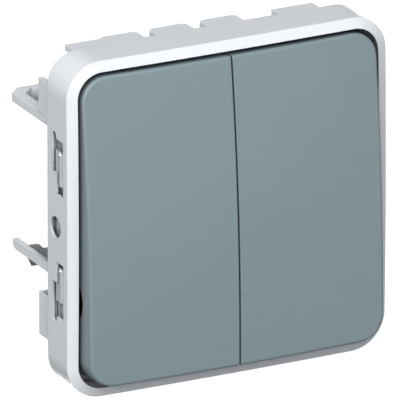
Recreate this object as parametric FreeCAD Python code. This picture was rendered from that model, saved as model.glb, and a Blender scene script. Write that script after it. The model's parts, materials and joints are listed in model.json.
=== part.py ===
"""Two-gang rocker wall switch: a clip-in module with a square front and its mechanism behind.

Millimetres. X is to the right, Y runs back into the wall and Z is up. The origin is the
centre of the plane of the front frame's rear rim, which seats on the wall box.
"""
import FreeCAD
import Part
import math
import os

V = FreeCAD.Vector
X_AXIS = V(1, 0, 0)
Y_AXIS = V(0, 1, 0)
Z_AXIS = V(0, 0, 1)
ORIGIN = V(0, 0, 0)

# Front frame
FRONT = 66.0                    # side of the square front
HALF = FRONT / 2
CORNER_R = 7.0
SIDE_DEPTH = 8.25               # rear rim to the start of the bevel, at mid-side
BEVEL_WIDTH = 1.94
BEVEL_RISE = 0.87
CROWN_R = 1100.0                # the front edge is slightly domed
WALL = 1.1                      # rear part of the side wall
LIP_DEPTH = 7.2                 # the thick front lip starts this far in front of the rim
OPENING_HALF = HALF - BEVEL_WIDTH
OPENING_R = 5.0
CREST_Y = -SIDE_DEPTH - BEVEL_RISE
CAVITY_HALF = HALF - WALL

# Windows and hole in each side of the frame
FRONT_SLOT_Z = (6.7, 17.5)
FRONT_SLOT_Y = (-6.5, -3.7)
REAR_SLOT_Z = (10.8, 18.7)
REAR_SLOT_Y = (-3.7, -2.05)
WINDOW_WALL = 0.45              # thinned wall round each window and hole
WINDOW_POCKET_Y = (-6.9, -1.7)
WINDOW_POCKET_Z = (6.4, 19.0)
CLIP_X = 32.05
CLIP_T = 0.4
CLIP_Y = (-6.3, -2.4)
CLIP_Z = (8.1, 14.9)
CLIP_FOOT_X = 31.4              # the foot turns in over the front edge of the chassis skirt
CLIP_FOOT_Z = 10.4
CLIP_BEAD_R = 0.35
CLIP_BEAD_Y = -4.6
CLIP_BEAD_Z = (8.3, 14.5)
CLIP_HEAD_R = 0.55
CLIP_HEAD_Y = -4.2
CLIP_SPACING = 22.9             # the lower clip stands the same way up, this far below
HOLE_R = 2.1
HOLE_Y = -3.3
HOLE_POCKET = 2.5               # half side of the thinned wall round the hole

# Rockers: drawn level, then tilted about the pivot so that the bottom stands out
ROCK_TILT = 3.5                 # degrees either side of level
ROCKER_X = (0.15, 30.45)
ROCKER_HALF_Z = 30.0
ROCKER_R = 5.0
ROCKER_TOP_Y = -13.0            # crown of both rockers, at the centre of the front
ROCKER_DOME_R = 420.0
ROCKER_EDGE_R = 0.6
GROOVE_EDGE_R = 0.2
CAP_REAR_Y = -5.3
CAP_WALL = 1.6
CAP_FACE = 1.8
PRY_NOTCH_Z = -13.8             # round-topped slot for a blade in the outer side of each cap
PRY_NOTCH_R = 4.5
PRY_NOTCH_FRONT_Y = -8.5
PIVOT_Y = -4.5
PIN_R = 1.0
RUNNING_GAP = 0.05
LUG_R = 1.8
LUG_T = 1.6
INNER_LUG_X = 4.0
OUTER_LUG_X = 22.6
PIN_OVERHANG = 2.0
LEG_X = 11.0
LEG_R = 2.6
LEG_END_Y = 6.6
LEG_SLOT = (3.1, 3.7)           # half width and half height of the openings for the legs
PLUNGER_R = 1.5
PLUNGER_BORE_R = 1.6
PLUNGER_TIP_Y = 9.1
PLUNGER_BACK_Y = -4.0
SPRING_R = 1.4
SPRING_WIRE_R = 0.2
CRADLE_Y = (-9.6, -8.2)
CRADLE_X = (ROCKER_X[0] + CAP_WALL, ROCKER_X[1] - CAP_WALL)
CRADLE_HALF_Z = 21.0

# Chassis
SKIRT_HALF = 31.8
SKIRT_T = 1.1
SKIRT_R = 5.8
SKIRT_FRONT_Y = -2.3
STEP_Y = (0.6, 2.2)             # shelf from the skirt in to the riser
RISER_HALF = 28.0
RISER_T = 1.6
FLOOR_Y = (3.2, 4.8)
LONG_TOOTH_Y = 6.5
SHORT_TOOTH_Y = 5.8
TEETH = ((-19.3, -11.5, LONG_TOOTH_Y, True), (-26.5, -19.3, SHORT_TOOTH_Y, False),
         (-9.2, -1.3, LONG_TOOTH_Y, True), (1.2, 9.0, LONG_TOOTH_Y, True),
         (16.2, 24.7, SHORT_TOOTH_Y, False))
TOOTH_R = 1.2
FLANGE_Y = 6.1
FLANGE_Z = (19.45, 26.15)
BLOCK_Z = (-24.4, -15.9)
BLOCK_WIDTH = 3.6
BLOCK_WALL = 0.4
BLOCK_FLOOR = 0.8
PAD_X = (30.95, 31.35)          # thin pads that close the hole and the rear slots of the frame
POST_HALF_Z = 2.6
POST_FRONT_Y = PIVOT_Y - 2.2
POST_ROOM = 0.6                 # room round the middle post in the inner side of each cap
MEMBRANE_Y = (2.4, 3.2)
MEMBRANE_HALF = 26.2

# Arms that enter the wall box
GUIDE_Z = (17.85, 19.4)
GUIDE_X = (-31.8, -22.5)
GUIDE_Y = (2.25, 19.6)
GUIDE_CHAMFER = (2.2, 2.3)
GUIDE_RIM = 2.3
GUIDE_FRONT_RIM = 1.1
GUIDE_BACK_RIM = 1.2
GUIDE_TRAY_Z = 16.4             # underside of the tray
TRAY_WALL = 0.5
SNAP_X = (-31.8, -30.74)
SNAP_Z = (-11.0, -9.2)
SNAP_END_Y = 17.1
SNAP_ROOT_Y = 1.0
SNAP_FLEX_ROOM = 0.35           # room for the strip to lean inward in its slot
BARB_T = 1.5
BARB_PROFILE = ((3.0, -6.9), (6.0, -7.5), (7.3, -8.0), (9.5, -9.0), (11.2, -8.8), (12.8, -9.2),
                (14.7, -10.3), (13.8, -11.5), (11.4, -13.0), (9.6, -12.2), (7.6, -11.4), (3.0, -11.1))

# Mechanism housing
BODY_HALF = 20.5
BODY_R = 3.0
BODY_Y = (4.8, 18.8)
BODY_WALL = 1.5
BODY_FRONT_T = 1.2
COLUMN = 4.9                    # solid corner columns for the screws
COVER_Y = (18.8, 20.4)
SCREW_AT = 17.8
SCREW_R = 1.2
SCREW_HEAD_R = 2.1
SCREW_HEAD_Y = (19.2, 20.3)
BARRIER_T = 1.2

# Contacts
BRASS_T = 0.8
CONTACT_TILT = 8.0              # degrees either side of level
FULCRUM_Y = 10.2
CONTACT_HALF_Z = 8.8
CONTACT_HALF_X = 2.5
RIVET_Z = 7.0
RIVET_R = 1.3
RIVET_DOME_R = 2.0
RIVET_H = 0.5
FIXED_Y = 12.3                  # front face of the fixed contact plates
FIXED_RIVET_Y = 11.75
BUSBAR_X = 3.1
BUSBAR_Y = (8.0, 17.8)
TERMINAL_Z = 13.0
WIRE_X = 5.6
WIRE_R = 1.45
CLAMP_T = 0.35
CLAMP_HALF_Z = 1.8
BUTTON_X = 10.3
BUTTON_HALF = (1.1, 1.6)
BUTTON_Y = (17.4, 21.2)
COLLAR_Y = (17.6, 18.3)
COLLAR_STEP = 0.25
FIT = 0.1                       # gap between fixed pieces, and round the buttons


def box(x, y, z):
    """Box between the low and high value of each pair."""
    corner = V(min(x), min(y), min(z))
    return Part.makeBox(abs(x[1] - x[0]), abs(y[1] - y[0]), abs(z[1] - z[0]), corner)


def cylinder(centre, axis, radius, length):
    return Part.makeCylinder(radius, length, V(*centre), axis)


def edges_along(shape, axis):
    """Straight edges parallel to an axis."""
    found = []
    for edge in shape.Edges:
        if edge.Curve.TypeId != "Part::GeomLine":
            continue
        if abs(edge.tangentAt(edge.FirstParameter).dot(axis)) > 0.999:
            found.append(edge)
    return found


def rounded_prism(half, radius, y):
    """Square prism along Y with rounded corners, centred on the Y axis."""
    block = box((-half, half), y, (-half, half))
    return block.makeFillet(radius, edges_along(block, Y_AXIS))


def ring(half, radius, thickness, y):
    outer = rounded_prism(half, radius, y)
    return outer.cut(rounded_prism(half - thickness, radius - thickness, y))


def union(shapes):
    """One solid from shapes that touch or overlap."""
    joined = shapes[0].multiFuse(list(shapes[1:]))
    return joined.removeSplitter()


def mirrored(shape):
    """The same piece on the other side of the YZ plane."""
    return shape.mirror(ORIGIN, X_AXIS)


def flipped(shape):
    """The same piece upside down, about the XY plane."""
    return shape.mirror(ORIGIN, Z_AXIS)


def turned(shape, y, degrees):
    """Turned about the line parallel to X through (y, z=0)."""
    copy = shape.copy()
    copy.rotate(V(0, y, 0), X_AXIS, degrees)
    return copy


def save(name, shape):
    shape.exportStep("parts/" + name + ".step")


def save_pair(name, right_shape):
    """Writes the right-hand piece and its mirror image on the left."""
    save("right_" + name, right_shape)
    save("left_" + name, mirrored(right_shape))


def crown(radius, front_y):
    """Large ball whose front is the domed face."""
    return Part.makeSphere(radius, V(0, front_y + radius, 0))


def strip(points, thickness, z):
    """Bent flat strip: its centre line in the XY plane, its width along Z."""
    half = thickness / 2
    pieces = []
    for start, end in zip(points, points[1:]):
        run = V(end[0] - start[0], end[1] - start[1], 0)
        bar = box((0, run.Length), (-half, half), z)
        bar.rotate(ORIGIN, Z_AXIS, math.degrees(math.atan2(run.y, run.x)))
        bar.translate(V(start[0], start[1], 0))
        pieces.append(bar)
    for point in points:
        pieces.append(cylinder((point[0], point[1], min(z)), Z_AXIS, half, max(z) - min(z)))
    return union(pieces)


def side_windows():
    """Cutters for the two stepped windows and the hole in the right side of the frame."""
    through = (CAVITY_HALF - 0.6, HALF + 1)
    rear = box(through, REAR_SLOT_Y, REAR_SLOT_Z)
    slot_r = (REAR_SLOT_Y[1] - REAR_SLOT_Y[0]) / 2 - 0.01
    far_end = [e for e in edges_along(rear, X_AXIS) if e.CenterOfMass.z > REAR_SLOT_Z[1] - 0.1]
    rear = rear.makeFillet(slot_r, far_end)
    window = union([box(through, FRONT_SLOT_Y, FRONT_SLOT_Z), rear])
    hole = cylinder((through[0], HOLE_Y, 0), X_AXIS, HOLE_R, through[1] - through[0])
    return [window, flipped(window), hole]


def wall_pockets():
    """Thin the right wall behind its windows, which gives the clips their room, and its hole."""
    x = (CAVITY_HALF - 0.1, HALF - WINDOW_WALL)
    window = box(x, WINDOW_POCKET_Y, WINDOW_POCKET_Z)
    hole = box(x, (HOLE_Y - HOLE_POCKET, HOLE_Y + HOLE_POCKET), (-HOLE_POCKET, HOLE_POCKET))
    return [window, flipped(window), hole]


def front_frame():
    prism = rounded_prism(HALF, CORNER_R, (-SIDE_DEPTH - 4, 0))
    crest_sagitta = OPENING_HALF ** 2 / (2 * CROWN_R)
    body = prism.common(crown(CROWN_R, CREST_Y - crest_sagitta))
    front_edges = [e for e in body.Edges if e.BoundBox.YMax < -SIDE_DEPTH + 1]
    edge_y = CREST_Y - crest_sagitta + HALF ** 2 / (2 * CROWN_R)
    body = body.makeChamfer(-SIDE_DEPTH - edge_y, BEVEL_WIDTH, front_edges)
    body = body.cut(rounded_prism(OPENING_HALF, OPENING_R, (-20, 0)))
    body = body.cut(rounded_prism(CAVITY_HALF, CORNER_R - WALL, (-LIP_DEPTH, 0)))
    for cutter in side_windows() + wall_pockets():
        body = body.cut(cutter)
        body = body.cut(mirrored(cutter))
    return body


def rocker_outline(y):
    """Prism of the right rocker's outline, with large outer corners."""
    block = box(ROCKER_X, y, (-ROCKER_HALF_Z, ROCKER_HALF_Z))
    middle = sum(ROCKER_X) / 2
    along = edges_along(block, Y_AXIS)
    return block.makeFillet(ROCKER_R, [e for e in along if e.CenterOfMass.x > middle])


def rocker_cap():
    blank = rocker_outline((-20, CAP_REAR_Y)).common(crown(ROCKER_DOME_R, ROCKER_TOP_Y))
    rim = [e for e in blank.Edges if e.BoundBox.YMax < ROCKER_TOP_Y + 4]
    blank = blank.makeFillet(ROCKER_EDGE_R, [e for e in rim if e.BoundBox.XMax > 1])
    groove = [e for e in blank.Edges if e.BoundBox.XMax < ROCKER_X[0] + 0.01
              and e.BoundBox.YMax < ROCKER_TOP_Y + 4]
    blank = blank.makeFillet(GROOVE_EDGE_R, groove)
    inner_y = ROCKER_TOP_Y + CAP_FACE
    hollow = box((ROCKER_X[0] + CAP_WALL, ROCKER_X[1] - CAP_WALL), (-20, 0),
                 (-ROCKER_HALF_Z + CAP_WALL, ROCKER_HALF_Z - CAP_WALL))
    hollow = hollow.makeFillet(ROCKER_R - CAP_WALL, edges_along(hollow, Y_AXIS))
    hollow = hollow.common(crown(ROCKER_DOME_R, inner_y))
    notch = cylinder((ROCKER_X[1] - CAP_WALL - 0.1, PRY_NOTCH_FRONT_Y + PRY_NOTCH_R, PRY_NOTCH_Z),
                     X_AXIS, PRY_NOTCH_R, CAP_WALL + 1)
    saddle_z = POST_HALF_Z + POST_ROOM
    saddle = box((0, ROCKER_X[0] + CAP_WALL + 0.1), (POST_FRONT_Y - POST_ROOM, 0),
                 (-saddle_z, saddle_z))
    return blank.cut(hollow).cut(notch).cut(saddle)


def rocker_cradle():
    plate = box(CRADLE_X, CRADLE_Y, (-CRADLE_HALF_Z, CRADLE_HALF_Z))
    plate = plate.makeFillet(2.0, edges_along(plate, Y_AXIS))
    pieces = [plate, cylinder((LEG_X, CRADLE_Y[0], 0), Y_AXIS, LEG_R, LEG_END_Y - CRADLE_Y[0])]
    for x in (INNER_LUG_X, OUTER_LUG_X):
        pieces.append(box((x, x + LUG_T), (CRADLE_Y[0], PIVOT_Y), (-LUG_R, LUG_R)))
        pieces.append(cylinder((x, PIVOT_Y, 0), X_AXIS, LUG_R, LUG_T))
    body = union(pieces)
    body = body.cut(cylinder((0, PIVOT_Y, 0), X_AXIS, PIN_R + 0.01, LEG_X - LEG_R - 1))
    body = body.cut(cylinder((OUTER_LUG_X - 1, PIVOT_Y, 0), X_AXIS, PIN_R + 0.01, 5))
    return body.cut(cylinder((LEG_X, CRADLE_Y[1], 0), Y_AXIS, PLUNGER_BORE_R, 40))


def pivot_pins():
    inner = cylinder((INNER_LUG_X + LUG_T, PIVOT_Y, 0), X_AXIS * -1, PIN_R, LUG_T + 3.4)
    outer = cylinder((OUTER_LUG_X, PIVOT_Y, 0), X_AXIS, PIN_R, LUG_T + PIN_OVERHANG)
    return Part.makeCompound([inner, outer])


def plunger():
    straight = PLUNGER_TIP_Y - PLUNGER_R - PLUNGER_BACK_Y
    rod = cylinder((LEG_X, PLUNGER_BACK_Y, 0), Y_AXIS, PLUNGER_R, straight)
    return union([rod, Part.makeSphere(PLUNGER_R, V(LEG_X, PLUNGER_TIP_Y - PLUNGER_R, 0))])


def plunger_spring():
    """Sleeve that the coil fills, between the end of the bore and the back of the plunger."""
    length = PLUNGER_BACK_Y - CRADLE_Y[1] - FIT
    sleeve = cylinder((LEG_X, CRADLE_Y[1] + FIT / 2, 0), Y_AXIS, SPRING_R, length)
    core = cylinder((LEG_X, CRADLE_Y[1], 0), Y_AXIS, SPRING_R - 2 * SPRING_WIRE_R, length + FIT)
    return sleeve.cut(core)


def top_tooth(x_low, x_high, depth, rounded):
    tooth = box((x_low, x_high), (STEP_Y[0], depth), (SKIRT_HALF - SKIRT_T, SKIRT_HALF))
    if rounded:
        back = [e for e in edges_along(tooth, Z_AXIS) if e.CenterOfMass.y > depth - 0.1]
        tooth = tooth.makeFillet(TOOTH_R, back)
    return tooth


def side_block():
    """Hollow block low on the right side of the skirt, open above."""
    outer = box((SKIRT_HALF - BLOCK_WIDTH, SKIRT_HALF), (STEP_Y[0], FLANGE_Y), BLOCK_Z)
    inner = box((SKIRT_HALF - BLOCK_WIDTH + BLOCK_WALL, SKIRT_HALF - BLOCK_WALL),
                (STEP_Y[1], FLANGE_Y - BLOCK_WALL), (BLOCK_Z[0] + BLOCK_FLOOR, BLOCK_Z[1]))
    return outer.cut(inner)


def snap_root():
    """Lug on the right that holds the root of the sprung arm."""
    block = box((-SNAP_X[1] - 1.6, SKIRT_HALF), (-1.2, 2.2), (SNAP_Z[0] - 1.4, SNAP_Z[1] + 1.4))
    slot = box((-SNAP_X[1] - SNAP_FLEX_ROOM, SKIRT_HALF + 1), (SNAP_ROOT_Y - 0.65, 9),
               (SNAP_Z[0] - FIT, SNAP_Z[1] + FIT))
    return block.cut(slot), slot


def support_chassis():
    inner_r = SKIRT_R - SKIRT_T
    shelf = rounded_prism(SKIRT_HALF - 0.5, inner_r, STEP_Y)
    shelf = shelf.cut(rounded_prism(RISER_HALF - RISER_T, 3.0, STEP_Y))
    pieces = [ring(SKIRT_HALF, SKIRT_R, SKIRT_T, (SKIRT_FRONT_Y, STEP_Y[1])), shelf]
    pieces.append(ring(RISER_HALF, 4.6, RISER_T, (STEP_Y[0], FLOOR_Y[1])))
    pieces.append(rounded_prism(RISER_HALF - 0.5, 4.0, FLOOR_Y))
    for x_low, x_high, depth, rounded in TEETH:
        tooth = top_tooth(x_low, x_high, depth, rounded)
        pieces += [tooth, flipped(tooth)]
    root, root_slot = snap_root()
    one_side = [box((SKIRT_HALF - SKIRT_T, SKIRT_HALF), (STEP_Y[0], FLANGE_Y), FLANGE_Z),
                side_block(), root]
    one_side.append(box(PAD_X, (HOLE_Y - 2.4, SKIRT_FRONT_Y), (-3.2, 3.2)))
    for sign in (-1, 1):
        one_side.append(box(PAD_X, (REAR_SLOT_Y[0] - 0.1, SKIRT_FRONT_Y), (sign * 10.6, sign * 19.3)))
    one_side.append(box((OUTER_LUG_X + LUG_T + 0.3, RISER_HALF - 1), (POST_FRONT_Y, FLOOR_Y[0]),
                        (-POST_HALF_Z, POST_HALF_Z)))
    for piece in one_side:
        pieces += [piece, mirrored(piece)]
    middle_half = INNER_LUG_X - 0.3
    pieces.append(box((-middle_half, middle_half), (POST_FRONT_Y, FLOOR_Y[0]),
                      (-POST_HALF_Z, POST_HALF_Z)))
    body = union(pieces)
    bore_r = PIN_R + RUNNING_GAP
    body = body.cut(cylinder((-middle_half, PIVOT_Y, 0), X_AXIS, bore_r, 2 * middle_half))
    leg_slot = box((LEG_X - LEG_SLOT[0], LEG_X + LEG_SLOT[0]), (0, 9), (-LEG_SLOT[1], LEG_SLOT[1]))
    end_bore = cylinder((OUTER_LUG_X + LUG_T, PIVOT_Y, 0), X_AXIS, bore_r, PIN_OVERHANG + 0.2)
    for cutter in (leg_slot, end_bore, root_slot):
        body = body.cut(cutter).cut(mirrored(cutter))
    for x in (-SCREW_AT, SCREW_AT):
        for z in (-SCREW_AT, SCREW_AT):
            body = body.cut(cylinder((x, 0, z), Y_AXIS, SCREW_R + 0.01, 9))
    return body


def sealing_membrane():
    """Soft sheet over the chassis floor, slotted for the legs and fitted round the posts."""
    sheet = rounded_prism(MEMBRANE_HALF, 2.8, MEMBRANE_Y)
    post = POST_HALF_Z + FIT
    sheet = sheet.cut(box((-INNER_LUG_X + 0.2, INNER_LUG_X - 0.2), (0, 9), (-post, post)))
    leg_z = LEG_SLOT[1] - FIT
    leg = box((LEG_X - LEG_R - 0.35, LEG_X + LEG_R + 0.35), (0, 9), (-leg_z, leg_z))
    leg = leg.makeFillet(1.0, edges_along(leg, Y_AXIS))
    end = box((OUTER_LUG_X + LUG_T + 0.2, RISER_HALF), (0, 9), (-post, post))
    for cutter in (leg, end):
        sheet = sheet.cut(cutter).cut(mirrored(cutter))
    for x in (-SCREW_AT, SCREW_AT):
        for z in (-SCREW_AT, SCREW_AT):
            sheet = sheet.cut(cylinder((x, 0, z), Y_AXIS, SCREW_R + 0.4, 9))
    return sheet


def guide_arm():
    """Left looped arm: a flat plate round a deep tray, with a chamfered tip."""
    x_out, x_in = GUIDE_X
    y_root, y_back = GUIDE_Y
    low, high = GUIDE_Z
    corner = [V(x_out, y_root, low), V(x_out, y_back - GUIDE_CHAMFER[1], low),
              V(x_out + GUIDE_CHAMFER[0], y_back, low), V(x_in, y_back, low),
              V(x_in, FLOOR_Y[1], low), V(-RISER_HALF, FLOOR_Y[1], low),
              V(-RISER_HALF, y_root, low)]
    plate = Part.Face(Part.makePolygon(corner + corner[:1])).extrude(V(0, 0, high - low))
    rim_out = x_out + GUIDE_RIM
    rim_in = x_in - GUIDE_BACK_RIM
    front = FLANGE_Y + GUIDE_FRONT_RIM
    back = y_back - GUIDE_BACK_RIM
    outline = [V(rim_out, front, 0), V(rim_out, back - GUIDE_CHAMFER[1], 0),
               V(rim_out + GUIDE_CHAMFER[0], back, 0), V(rim_in, back, 0), V(rim_in, front, 0)]
    floor = Part.Face(Part.makePolygon(outline + outline[:1]))
    tray = floor.makeOffset2D(TRAY_WALL)
    tray.translate(V(0, 0, GUIDE_TRAY_Z))
    floor.translate(V(0, 0, GUIDE_TRAY_Z + TRAY_WALL))
    body = union([plate, tray.extrude(V(0, 0, low - GUIDE_TRAY_Z))])
    return body.cut(floor.extrude(V(0, 0, high)))


def snap_arm():
    """Left sprung arm: a thin strip with a round root that sits in the chassis lug."""
    root_x = sum(SNAP_X) / 2
    half = (SNAP_X[1] - SNAP_X[0]) / 2
    bar = box(SNAP_X, (SNAP_ROOT_Y, SNAP_END_Y), SNAP_Z)
    end = [e for e in edges_along(bar, X_AXIS)
           if e.CenterOfMass.y > SNAP_END_Y - 0.1 and e.CenterOfMass.z < SNAP_Z[0] + 0.1]
    bar = bar.makeFillet(1.2, end)
    root = cylinder((root_x, SNAP_ROOT_Y, SNAP_Z[0]), Z_AXIS, half, SNAP_Z[1] - SNAP_Z[0])
    return union([bar, root])


def snap_barb():
    """Dark tooth fixed to the inner face of the left sprung arm."""
    face_x = SNAP_X[1]
    outline = [V(face_x, y, z) for y, z in BARB_PROFILE]
    return Part.Face(Part.makePolygon(outline + outline[:1])).extrude(V(BARB_T, 0, 0))


def frame_clip():
    """Upper clip on the right: a sprung plate in the window with a round bead and a ball head."""
    plate_x = (CLIP_X, CLIP_X + CLIP_T)
    plate = box(plate_x, CLIP_Y, CLIP_Z)
    foot = box((CLIP_FOOT_X, plate_x[1]), (CLIP_Y[1] - CLIP_T, CLIP_Y[1]), (CLIP_Z[0], CLIP_FOOT_Z))
    bead = cylinder((plate_x[1], CLIP_BEAD_Y, CLIP_BEAD_Z[0]), Z_AXIS, CLIP_BEAD_R,
                    CLIP_BEAD_Z[1] - CLIP_BEAD_Z[0])
    head = Part.makeSphere(CLIP_HEAD_R, V(plate_x[1], CLIP_HEAD_Y, CLIP_BEAD_Z[1]))
    outside = box((plate_x[1] - 0.1, HALF), (-9, 0), (0, HALF))
    return union([plate, foot, bead.common(outside), head.common(outside)])


def mechanism_housing():
    outer = rounded_prism(BODY_HALF, BODY_R, BODY_Y)
    inner_half = BODY_HALF - BODY_WALL
    cavity = box((-inner_half, inner_half), (BODY_Y[0] + BODY_FRONT_T, BODY_Y[1]),
                 (-inner_half, inner_half))
    body = outer.cut(cavity)
    inner_y = (BODY_Y[0] + BODY_FRONT_T, BODY_Y[1])
    pieces = [body]
    for sx in (-1, 1):
        rib_x = (sx * (BARRIER_T / 2 + FIT), sx * (BARRIER_T / 2 + 1))
        for sz in (-1, 1):
            column_x = (sx * (BODY_HALF - COLUMN), sx * (inner_half + 0.2))
            column_z = (sz * (BODY_HALF - COLUMN), sz * (inner_half + 0.2))
            pieces.append(box(column_x, inner_y, column_z))
            pieces.append(box(rib_x, inner_y, (sz * 17.6, sz * (inner_half + 0.2))))
    body = union(pieces)
    for sx in (-1, 1):
        leg_x = (sx * (LEG_X - LEG_SLOT[0]), sx * (LEG_X + LEG_SLOT[0]))
        body = body.cut(box(leg_x, (0, inner_y[0]), (-LEG_SLOT[1], LEG_SLOT[1])))
        for sz in (-1, 1):
            hole = cylinder((sx * SCREW_AT, 0, sz * SCREW_AT), Y_AXIS, SCREW_R + FIT, 40)
            body = body.cut(hole)
    return body


def gang_barrier():
    half_z = BODY_HALF - BODY_WALL - FIT
    return box((-BARRIER_T / 2, BARRIER_T / 2), (BODY_Y[0] + BODY_FRONT_T + FIT, BODY_Y[1] - FIT),
               (-half_z, half_z))


def rear_cover():
    plate = rounded_prism(BODY_HALF, BODY_R, COVER_Y)
    rim = [e for e in plate.Edges if e.BoundBox.YMin > COVER_Y[1] - 0.01]
    plate = plate.makeFillet(0.6, rim)
    for sx in (-1, 1):
        for z in (-TERMINAL_Z, 0, TERMINAL_Z):
            plate = plate.cut(cylinder((sx * WIRE_X, 0, z), Y_AXIS, WIRE_R, 40))
            x = (sx * BUTTON_X - BUTTON_HALF[0] - FIT, sx * BUTTON_X + BUTTON_HALF[0] + FIT)
            plate = plate.cut(box(x, (0, 40), (z - BUTTON_HALF[1] - FIT, z + BUTTON_HALF[1] + FIT)))
        for z in (-SCREW_AT, SCREW_AT):
            plate = plate.cut(cylinder((sx * SCREW_AT, 0, z), Y_AXIS, SCREW_R + FIT, 40))
            plate = plate.cut(cylinder((sx * SCREW_AT, SCREW_HEAD_Y[0], z), Y_AXIS,
                                       SCREW_HEAD_R + FIT, 9))
    return plate


def housing_screws():
    screws = []
    for x in (-SCREW_AT, SCREW_AT):
        for z in (-SCREW_AT, SCREW_AT):
            shank = cylinder((x, FLOOR_Y[0] + 0.2, z), Y_AXIS, SCREW_R,
                             SCREW_HEAD_Y[0] - FLOOR_Y[0] - 0.2)
            head = cylinder((x, SCREW_HEAD_Y[0], z), Y_AXIS, SCREW_HEAD_R,
                            SCREW_HEAD_Y[1] - SCREW_HEAD_Y[0])
            screw = union([shank, head])
            for slot in ((1.4, 0.25), (0.25, 1.4)):
                cut = box((x - slot[0], x + slot[0]), (SCREW_HEAD_Y[1] - 0.6, SCREW_HEAD_Y[1] + 1),
                          (z - slot[1], z + slot[1]))
                screw = screw.cut(cut)
            screws.append(screw)
    return Part.makeCompound(screws)


def moving_contact():
    """See-saw blade with two side tabs that guide the plunger."""
    x = (LEG_X - CONTACT_HALF_X, LEG_X + CONTACT_HALF_X)
    y = (FULCRUM_Y - BRASS_T, FULCRUM_Y)
    blade = box(x, y, (-CONTACT_HALF_Z, CONTACT_HALF_Z))
    blade = blade.makeFillet(1.0, edges_along(blade, Y_AXIS))
    tabs = [box((x[0], x[0] + 0.5), (y[0] - 0.9, y[0]), (-2.2, 2.2)),
            box((x[1] - 0.5, x[1]), (y[0] - 0.9, y[0]), (-2.2, 2.2))]
    return union([blade] + tabs)


def moving_rivets():
    domes = []
    for z in (-RIVET_Z, RIVET_Z):
        ball = Part.makeSphere(RIVET_DOME_R, V(LEG_X, FULCRUM_Y + RIVET_H - RIVET_DOME_R, z))
        domes.append(ball.common(box((0, 40), (FULCRUM_Y, 40), (-40, 40))))
    return Part.makeCompound(domes)


def fixed_contact():
    """Upper fixed contact on the right, with the busbar that the wire is pressed on."""
    plate_y = (FIXED_Y, FIXED_Y + BRASS_T)
    return union([box((LEG_X - 2.2, LEG_X + 2.2), plate_y, (5.2, 10.0)),
                  box((BUSBAR_X, LEG_X), plate_y, (8.0, 10.0)),
                  box((BUSBAR_X, BUSBAR_X + BRASS_T), BUSBAR_Y, (8.0, TERMINAL_Z + 2.2))])


def fixed_rivets():
    heads = []
    for x in (-LEG_X, LEG_X):
        for z in (-RIVET_Z, RIVET_Z):
            heads.append(cylinder((x, FIXED_RIVET_Y, z), Y_AXIS, RIVET_R, FIXED_Y - FIXED_RIVET_Y))
    return Part.makeCompound(heads)


def common_terminal():
    """Right common terminal: busbar, base plate and the knife edge that the see-saw rocks on."""
    plate_y = (FIXED_Y, FIXED_Y + BRASS_T)
    edge = [(FULCRUM_Y + 0.05, -0.15), (FULCRUM_Y + 0.05, 0.15), (FIXED_Y, 1.2), (FIXED_Y, -1.2)]
    outline = [V(LEG_X - 2.0, y, z) for y, z in edge]
    knife = Part.Face(Part.makePolygon(outline + outline[:1])).extrude(V(4.0, 0, 0))
    return union([box((LEG_X - CONTACT_HALF_X, LEG_X + CONTACT_HALF_X), plate_y, (-3.4, 2.0)),
                  box((BUSBAR_X, LEG_X), plate_y, (-3.4, -1.9)),
                  box((BUSBAR_X, BUSBAR_X + BRASS_T), BUSBAR_Y, (-3.4, 2.2)), knife])


def clamp_springs():
    """Bent strips that press each wire on its busbar."""
    line = [(13.6, 13.9), (13.6, 16.3), (12.9, 17.0), (7.4, 13.6)]
    springs = []
    for z in (-TERMINAL_Z, 0, TERMINAL_Z):
        spring = strip(line, CLAMP_T, (z - CLAMP_HALF_Z, z + CLAMP_HALF_Z))
        springs += [spring, mirrored(spring)]
    return Part.makeCompound(springs)


def release_button(z):
    shaft = box((BUTTON_X - BUTTON_HALF[0], BUTTON_X + BUTTON_HALF[0]), BUTTON_Y,
                (z - BUTTON_HALF[1], z + BUTTON_HALF[1]))
    collar_x = BUTTON_HALF[0] + COLLAR_STEP
    collar_z = BUTTON_HALF[1] + COLLAR_STEP
    collar = box((BUTTON_X - collar_x, BUTTON_X + collar_x), COLLAR_Y,
                 (z - collar_z, z + collar_z))
    return union([shaft, collar])


def main():
    os.makedirs("parts", exist_ok=True)
    save("front_frame", front_frame())
    save("support_chassis", support_chassis())
    save("sealing_membrane", sealing_membrane())
    save("mechanism_housing", mechanism_housing())
    save("gang_barrier", gang_barrier())
    save("rear_cover", rear_cover())
    save("housing_screws", housing_screws())
    rocker_pieces = {"rocker_cap": rocker_cap(), "rocker_cradle": rocker_cradle(),
                     "pivot_pins": pivot_pins(), "plunger": plunger(),
                     "plunger_spring": plunger_spring()}
    for name, shape in rocker_pieces.items():
        save_pair(name, turned(shape, PIVOT_Y, -ROCK_TILT))
    save_pair("moving_contact", turned(moving_contact(), FULCRUM_Y, CONTACT_TILT))
    save_pair("moving_rivets", turned(moving_rivets(), FULCRUM_Y, CONTACT_TILT))
    save_pair("common_terminal", common_terminal())
    save_pair("upper_fixed_contact", fixed_contact())
    save_pair("lower_fixed_contact", flipped(fixed_contact()))
    save("fixed_rivets", fixed_rivets())
    save("clamp_springs", clamp_springs())
    for name, z in (("upper", TERMINAL_Z), ("middle", 0), ("lower", -TERMINAL_Z)):
        save_pair(name + "_release_button", release_button(z))
    save_pair("upper_frame_clip", frame_clip())
    lower_clip = frame_clip()
    lower_clip.translate(V(0, 0, -CLIP_SPACING))
    save_pair("lower_frame_clip", lower_clip)
    save_pair("guide_arm", mirrored(guide_arm()))
    save_pair("snap_arm", mirrored(snap_arm()))
    save_pair("snap_barb", mirrored(snap_barb()))


main()
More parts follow.
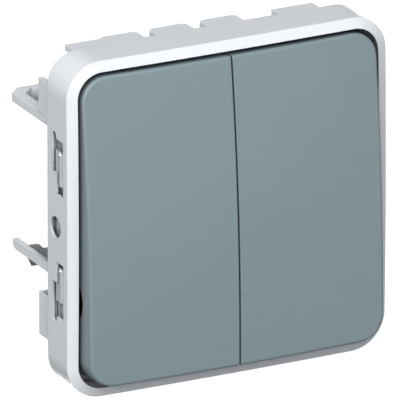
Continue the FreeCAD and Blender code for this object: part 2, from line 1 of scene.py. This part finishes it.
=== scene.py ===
"""Looks of the two-gang rocker wall switch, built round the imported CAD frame.

Metres, in the frame's own axes: X to the right, Y back into the wall, Z up.
"""
import bpy
import bmesh
import json
import math
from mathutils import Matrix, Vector


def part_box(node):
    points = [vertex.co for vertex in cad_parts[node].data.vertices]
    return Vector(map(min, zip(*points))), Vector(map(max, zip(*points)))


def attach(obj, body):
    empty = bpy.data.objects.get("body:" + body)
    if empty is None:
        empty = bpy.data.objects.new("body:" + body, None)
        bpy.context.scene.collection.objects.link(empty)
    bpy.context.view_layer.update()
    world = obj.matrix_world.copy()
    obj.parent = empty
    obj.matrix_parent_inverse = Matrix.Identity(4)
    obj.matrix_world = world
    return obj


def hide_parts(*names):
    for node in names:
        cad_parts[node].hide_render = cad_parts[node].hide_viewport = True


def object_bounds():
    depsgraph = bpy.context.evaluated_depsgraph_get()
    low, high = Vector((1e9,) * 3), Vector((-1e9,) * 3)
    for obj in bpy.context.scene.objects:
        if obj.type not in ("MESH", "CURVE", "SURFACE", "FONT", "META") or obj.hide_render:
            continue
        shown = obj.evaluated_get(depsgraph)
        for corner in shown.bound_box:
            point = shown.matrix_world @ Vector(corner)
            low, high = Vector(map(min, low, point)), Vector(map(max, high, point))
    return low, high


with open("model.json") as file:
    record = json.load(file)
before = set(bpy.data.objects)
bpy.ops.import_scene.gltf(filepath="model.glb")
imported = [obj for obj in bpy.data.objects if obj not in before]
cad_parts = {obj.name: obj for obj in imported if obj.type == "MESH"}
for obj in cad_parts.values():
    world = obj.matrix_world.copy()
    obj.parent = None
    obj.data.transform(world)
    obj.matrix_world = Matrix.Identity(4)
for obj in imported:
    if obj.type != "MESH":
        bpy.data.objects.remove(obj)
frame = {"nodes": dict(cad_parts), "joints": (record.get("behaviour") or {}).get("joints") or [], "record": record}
cad_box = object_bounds()
MM = 0.001
EDGE_ROUND = 0.12 * MM            # radius that edges are shaded with
EDGE_SAMPLES = 6
# Painted shade: ambient occlusion darkens the base colour of plastics in recesses
PAINTED_SHADE_REACH = 3.0 * MM           # how near a surface has to be for painted shade to darken another
PAINTED_SHADE_DEPTH = 0.22               # share of a colour that the painted shade leaves in the deepest recess
PAINTED_SHADE_SAMPLES = 8
PAINTED_SHADE_OPENNESS = (0.3, 0.92)     # occlusion that counts as the deepest recess, and as fully open, for the painted shade
NOISE_ROUGHNESS = 0.55
NOISE_SPREAD = (0.3, 0.7)         # noise values that give spread() its low and its high


# ---------------------------------------------------------------- materials
class Graph:
    """Small helper that builds a node material round one Principled shader."""

    def __init__(self, name):
        self.material = bpy.data.materials.new(name)
        self.material.use_nodes = True
        self.tree = self.material.node_tree
        self.shader = self.tree.nodes["Principled BSDF"]
        self.coords = self.add("ShaderNodeTexCoord").outputs["Object"]

    def add(self, kind, **settings):
        node = self.tree.nodes.new(kind)
        for key, value in settings.items():
            setattr(node, key, value)
        return node

    def link(self, source, target):
        self.tree.links.new(source, target)

    def noise(self, scale, detail=3.0):
        """Noise in the object's own coordinates."""
        node = self.add("ShaderNodeTexNoise")
        node.inputs["Scale"].default_value = scale
        node.inputs["Detail"].default_value = detail
        node.inputs["Roughness"].default_value = NOISE_ROUGHNESS
        self.link(self.coords, node.inputs["Vector"])
        return node.outputs["Fac"]

    def stretched_noise(self, scale, stretch):
        """Noise drawn out along one axis, as rolled or drawn metal shows."""
        mapping = self.add("ShaderNodeMapping")
        mapping.inputs["Scale"].default_value = stretch
        self.link(self.coords, mapping.inputs["Vector"])
        node = self.add("ShaderNodeTexNoise")
        node.inputs["Scale"].default_value = scale
        node.inputs["Detail"].default_value = 4.0
        self.link(mapping.outputs["Vector"], node.inputs["Vector"])
        return node.outputs["Fac"]

    def spread(self, fac, low, high):
        """Maps noise to a number between low and high."""
        node = self.add("ShaderNodeMapRange")
        node.inputs["From Min"].default_value = NOISE_SPREAD[0]
        node.inputs["From Max"].default_value = NOISE_SPREAD[1]
        node.inputs["To Min"].default_value = low
        node.inputs["To Max"].default_value = high
        self.link(fac, node.inputs["Value"])
        return node.outputs["Result"]

    def tint(self, fac, first, second):
        """Mixes two colours by a noise."""
        node = self.add("ShaderNodeMix", data_type="RGBA")
        node.inputs["A"].default_value = (*first, 1)
        node.inputs["B"].default_value = (*second, 1)
        self.link(fac, node.inputs["Factor"])
        return node.outputs["Result"]

    def painted_recess_shade(self, color, reach, depth):
        """Paints shade into a colour in slots and corners, darker where nearby surfaces close it in."""
        node = self.add("ShaderNodeAmbientOcclusion", samples=PAINTED_SHADE_SAMPLES)
        node.inputs["Distance"].default_value = reach
        open_part = self.add("ShaderNodeMapRange")
        open_part.inputs["From Min"].default_value = PAINTED_SHADE_OPENNESS[0]
        open_part.inputs["From Max"].default_value = PAINTED_SHADE_OPENNESS[1]
        open_part.inputs["To Min"].default_value = depth
        open_part.inputs["To Max"].default_value = 1.0
        self.link(node.outputs["AO"], open_part.inputs["Value"])
        mix = self.add("ShaderNodeMix", data_type="RGBA", blend_type="MULTIPLY")
        mix.inputs["Factor"].default_value = 1.0
        self.link(color, mix.inputs["A"])
        self.link(open_part.outputs["Result"], mix.inputs["B"])
        return mix.outputs["Result"]

    def bump(self, height, strength, distance):
        """Fine relief on top of softly rounded edges."""
        edge = self.add("ShaderNodeBevel", samples=EDGE_SAMPLES)
        edge.inputs["Radius"].default_value = EDGE_ROUND
        node = self.add("ShaderNodeBump")
        node.inputs["Strength"].default_value = strength
        node.inputs["Distance"].default_value = distance
        self.link(height, node.inputs["Height"])
        self.link(edge.outputs["Normal"], node.inputs["Normal"])
        self.link(node.outputs["Normal"], self.shader.inputs["Normal"])


def shade(color, factor):
    """Lighter or darker version of a colour."""
    return tuple(min(1.0, c * factor) for c in color)


# Noise scales, in cells to a metre
FLOW_SCALE = 90.0
GLOSS_SCALE = 420.0
METAL_PATCH_SCALE = 300.0
METAL_LINE_SCALE = 2600.0         # across the lines, which are longer along the metal
RUBBER_PATCH_SCALE = 500.0
RUBBER_GLOSS_SCALE = 1500.0
RUBBER_GRAIN_SCALE = 5000.0

GLOSS_SPREAD = 0.05               # how far plastic's roughness strays either way
METAL_LINE_DEPTH = 0.01 * MM
RUBBER_GRAIN_DEPTH = 0.02 * MM


def plastic(name, color, rough, grain=9000.0, depth=0.012, mottle=0.03, painted_recess_shade=PAINTED_SHADE_DEPTH):
    """Moulded plastic: faint flow mottle, fine texture, patchy gloss, and painted shade in recesses.

    The texture has grain cells to a metre and is depth millimetres high.
    """
    g = Graph(name)
    flow = g.noise(FLOW_SCALE, detail=4.0)
    body = g.tint(flow, shade(color, 1 - mottle), shade(color, 1 + mottle))
    # painted shade: the base colour darkens in slots, gaps and corners
    g.link(g.painted_recess_shade(body, PAINTED_SHADE_REACH, painted_recess_shade), g.shader.inputs["Base Color"])
    gloss = g.spread(g.noise(GLOSS_SCALE), low=rough - GLOSS_SPREAD, high=rough + GLOSS_SPREAD)
    g.link(gloss, g.shader.inputs["Roughness"])
    g.bump(g.noise(grain, detail=2.0), strength=0.25, distance=depth * MM)
    return g.material


def metal(name, color, rough, stretch, metallic=1.0):
    """Rolled or drawn metal: fine lines and uneven polish.

    The lines run along the axis where stretch is well under 1.
    """
    g = Graph(name)
    g.shader.inputs["Metallic"].default_value = metallic
    lines = g.stretched_noise(METAL_LINE_SCALE, stretch)
    g.link(g.tint(g.noise(METAL_PATCH_SCALE), shade(color, 0.9), shade(color, 1.06)),
           g.shader.inputs["Base Color"])
    g.link(g.spread(lines, low=rough - 0.08, high=rough + 0.1), g.shader.inputs["Roughness"])
    g.bump(lines, strength=0.3, distance=METAL_LINE_DEPTH)
    return g.material


def rubber(name, color):
    """Soft dull rubber with uneven sheen."""
    g = Graph(name)
    g.link(g.tint(g.noise(RUBBER_PATCH_SCALE), shade(color, 0.8), shade(color, 1.25)),
           g.shader.inputs["Base Color"])
    g.link(g.spread(g.noise(RUBBER_GLOSS_SCALE), low=0.7, high=0.9), g.shader.inputs["Roughness"])
    g.bump(g.noise(RUBBER_GRAIN_SCALE), strength=0.4, distance=RUBBER_GRAIN_DEPTH)
    return g.material


FRAME_WHITE = (0.74, 0.768, 0.80)
CHASSIS_WHITE = (0.74, 0.768, 0.80)
ROCKER_GREY = (0.205, 0.268, 0.288)

# Every plastic gets painted shade in its recesses
MATERIALS = {
    "frame_plastic": plastic("frame_plastic", FRAME_WHITE, 0.34, grain=7000.0, depth=0.006),
    "chassis_plastic": plastic("chassis_plastic", CHASSIS_WHITE, 0.42),
    # the rocker's painted shade in its gaps is lighter than that of the other plastics
    "rocker_plastic": plastic("rocker_plastic", ROCKER_GREY, 0.46, mottle=0.02, painted_recess_shade=0.42),
    "cradle_plastic": plastic("cradle_plastic", (0.55, 0.58, 0.60), 0.5),
    "dark_plastic": plastic("dark_plastic", (0.19, 0.20, 0.205), 0.5),
    "housing_plastic": plastic("housing_plastic", (0.50, 0.52, 0.55), 0.5),
    "button_plastic": plastic("button_plastic", (0.72, 0.26, 0.05), 0.45),
    "plunger_plastic": plastic("plunger_plastic", (0.80, 0.80, 0.76), 0.35),
    "membrane_rubber": rubber("membrane_rubber", (0.035, 0.036, 0.04)),
    "spring_steel": metal("spring_steel", (0.80, 0.81, 0.82), 0.35, (1, 1, 0.06), metallic=0.55),
    "bright_steel": metal("bright_steel", (0.72, 0.73, 0.75), 0.28, (0.08, 1, 1)),
    "contact_silver": metal("contact_silver", (0.88, 0.87, 0.84), 0.22, (1, 0.2, 1)),
    "brass": metal("brass", (0.80, 0.56, 0.25), 0.3, (1, 1, 0.08)),
}


def dress_nodes():
    """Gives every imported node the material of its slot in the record."""
    slots = {row["node"]: row["material_slot"] for row in frame["record"]["subparts"]}
    for name, node in frame["nodes"].items():
        node.data.materials.clear()
        node.data.materials.append(MATERIALS[slots[name]])


# ---------------------------------------------------------------- plunger springs
COIL_TURNS = 7
COIL_WIRE_R = 0.2 * MM
COIL_STEPS = 28                   # rings of the wire mesh in each turn
COIL_SIDES = 10                   # sides of the wire's section
DEAD_TURNS = 1.0                  # turns that lie flat against each other at either end


def coil_height(turn, length):
    """Distance along the spring, with close turns at both ends and an even pitch between."""
    wire = 2 * COIL_WIRE_R
    closed = DEAD_TURNS * wire
    open_turns = COIL_TURNS - 2 * DEAD_TURNS
    pitch = (length - wire - 2 * closed) / open_turns
    if turn < DEAD_TURNS:
        return turn * wire
    if turn > COIL_TURNS - DEAD_TURNS:
        return closed + open_turns * pitch + (turn - COIL_TURNS + DEAD_TURNS) * wire
    return closed + (turn - DEAD_TURNS) * pitch


def plunger_coil(side):
    """Round wire wound in the space of the CAD sleeve that it stands for, along its tilt."""
    node = side + "_plunger_spring"
    low, high = (Vector(corner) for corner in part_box(node))
    hinge = next(j for j in frame["joints"] if j["name"] == side + "_rocker_hinge")
    tilt = math.radians(hinge["range_deg"][1] / 2)
    outer = (high.x - low.x) / 2
    length = (high.y - low.y - 2 * outer * math.sin(tilt)) / math.cos(tilt)
    axis = Vector((0, math.cos(tilt), -math.sin(tilt)))
    across = Vector((0, math.sin(tilt), math.cos(tilt)))
    start = (low + high) / 2 - axis * (length / 2 - COIL_WIRE_R)
    coil_r = outer - COIL_WIRE_R
    bm = bmesh.new()
    rings = []
    for step in range(COIL_TURNS * COIL_STEPS + 1):
        turn = step / COIL_STEPS
        angle = 2 * math.pi * turn
        out = Vector((math.cos(angle), 0, 0)) + across * math.sin(angle)
        centre = start + axis * coil_height(turn, length) + out * coil_r
        ring = []
        for k in range(COIL_SIDES):
            a = 2 * math.pi * k / COIL_SIDES
            ring.append(bm.verts.new(centre + (out * math.cos(a) + axis * math.sin(a)) * COIL_WIRE_R))
        rings.append(ring)
    for first, second in zip(rings, rings[1:]):
        for k in range(COIL_SIDES):
            n = (k + 1) % COIL_SIDES
            bm.faces.new((first[k], first[n], second[n], second[k]))
    bm.faces.new(rings[0][::-1])
    bm.faces.new(rings[-1])
    bmesh.ops.recalc_face_normals(bm, faces=bm.faces)
    for face in bm.faces:
        face.smooth = len(face.verts) == 4
    mesh = bpy.data.meshes.new(side + "_plunger_coil")
    bm.to_mesh(mesh)
    bm.free()
    coil = bpy.data.objects.new(side + "_plunger_coil", mesh)
    bpy.context.scene.collection.objects.link(coil)
    mesh.materials.append(MATERIALS["bright_steel"])
    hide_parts(node)
    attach(coil, side + "_rocker")


# ---------------------------------------------------------------- camera and light
AZIMUTH = math.radians(26.7)      # the camera stands to the left of the front
ELEVATION = math.radians(20.4)
VIEW_WIDTH = 74.0 * MM
AIM_RIGHT = -4.98 * MM            # the view's centre from the front's centre, along the screen
AIM_UP = 1.34 * MM
FRONT_EDGE_Y = -8.1 * MM          # depth at which the front's centre is taken
LENS = 1600.0                     # long, so that the view is near-parallel
SENSOR = 36.0
CLIP_NEAR = 0.01
CLIP_FAR = 100.0


def add_camera():
    """Camera to the left of the front and above it, looking down at it from far off."""
    back = Vector((-math.sin(AZIMUTH) * math.cos(ELEVATION),
                   -math.cos(AZIMUTH) * math.cos(ELEVATION), math.sin(ELEVATION)))
    right = Vector((math.cos(AZIMUTH), -math.sin(AZIMUTH), 0))
    up = back.cross(right)
    target = Vector((0, FRONT_EDGE_Y, 0)) + right * AIM_RIGHT + up * AIM_UP
    data = bpy.data.cameras.new("camera")
    data.lens = LENS
    data.sensor_width = SENSOR
    distance = VIEW_WIDTH * LENS / SENSOR
    data.clip_start = CLIP_NEAR
    data.clip_end = CLIP_FAR
    camera = bpy.data.objects.new("camera", data)
    camera.location = target + back * distance
    camera.rotation_mode = "QUATERNION"
    camera.rotation_quaternion = (-back).to_track_quat("-Z", "Y")
    bpy.context.scene.collection.objects.link(camera)
    bpy.context.scene.camera = camera


# Name, direction from the switch, distance and width in metres, and power. Both fills reach
# below the floor, which blocks the light of that part of them.
LIGHTS = (("key", (-0.49, -0.61, 0.60), 1.3, 1.5, 27.5),
          ("low_fill", (0.68, -0.66, -0.30), 1.4, 1.1, 5.5),
          ("back_fill", (0.38, 0.86, -0.34), 1.4, 1.2, 16.0))


def area_light(name, direction, distance, size, power):
    """Round soft light aimed at the switch, and out of the camera's sight."""
    data = bpy.data.lights.new(name, "AREA")
    data.shape = "DISK"
    data.size = size
    data.energy = power
    light = bpy.data.objects.new(name, data)
    light.visible_camera = False
    away = Vector(direction).normalized()
    light.location = away * distance
    light.rotation_mode = "QUATERNION"
    light.rotation_quaternion = away.to_track_quat("Z", "Y")
    bpy.context.scene.collection.objects.link(light)


WORLD_FILL = 0.16
WORLD_TINT = (0.93, 0.96, 1.0, 1)


def add_world():
    """White to the camera, and a faint cool fill for everything else."""
    world = bpy.data.worlds.new("studio")
    world.use_nodes = True
    bpy.context.scene.world = world
    tree = world.node_tree
    tree.nodes.clear()
    output = tree.nodes.new("ShaderNodeOutputWorld")
    seen = tree.nodes.new("ShaderNodeBackground")
    seen.inputs["Color"].default_value = (1, 1, 1, 1)
    fill = tree.nodes.new("ShaderNodeBackground")
    fill.inputs["Color"].default_value = WORLD_TINT
    fill.inputs["Strength"].default_value = WORLD_FILL
    path = tree.nodes.new("ShaderNodeLightPath")
    mix = tree.nodes.new("ShaderNodeMixShader")
    tree.links.new(path.outputs["Is Camera Ray"], mix.inputs["Fac"])
    tree.links.new(fill.outputs["Background"], mix.inputs[1])
    tree.links.new(seen.outputs["Background"], mix.inputs[2])
    tree.links.new(mix.outputs["Shader"], output.inputs["Surface"])


FLOOR_DROP = 260 * MM
FLOOR_SIZE = 12.0
FLOOR_GLOW = 0.62                 # the floor's own light, added to what falls on it
FLOOR_SCALE = 40.0
FLOOR_TONES = ((0.90, 0.90, 0.90), (0.93, 0.93, 0.93))


def add_floor():
    """Plain pale floor well below the switch, which hangs as it would on its wall.

    It sends the switch no light and no reflection, but it blocks light from below.
    """
    level = cad_box[0].z - FLOOR_DROP
    half = FLOOR_SIZE / 2
    mesh = bpy.data.meshes.new("floor")
    corners = [(-half, -half, level), (half, -half, level), (half, half, level),
               (-half, half, level)]
    mesh.from_pydata(corners, [], [(0, 1, 2, 3)])
    floor = bpy.data.objects.new("floor", mesh)
    bpy.context.scene.collection.objects.link(floor)
    g = Graph("floor_paper")
    g.link(g.tint(g.noise(FLOOR_SCALE), *FLOOR_TONES), g.shader.inputs["Base Color"])
    g.shader.inputs["Roughness"].default_value = 0.9
    g.shader.inputs["Emission Color"].default_value = (1, 1, 1, 1)
    g.shader.inputs["Emission Strength"].default_value = FLOOR_GLOW
    mesh.materials.append(g.material)
    floor.visible_diffuse = False
    floor.visible_glossy = False


# ---------------------------------------------------------------- run
def main():
    scene = bpy.context.scene
    scene.view_settings.view_transform = "Standard"
    dress_nodes()
    for side in ("left", "right"):
        plunger_coil(side)
    add_camera()
    for row in LIGHTS:
        area_light(*row)
    add_world()
    add_floor()


main()
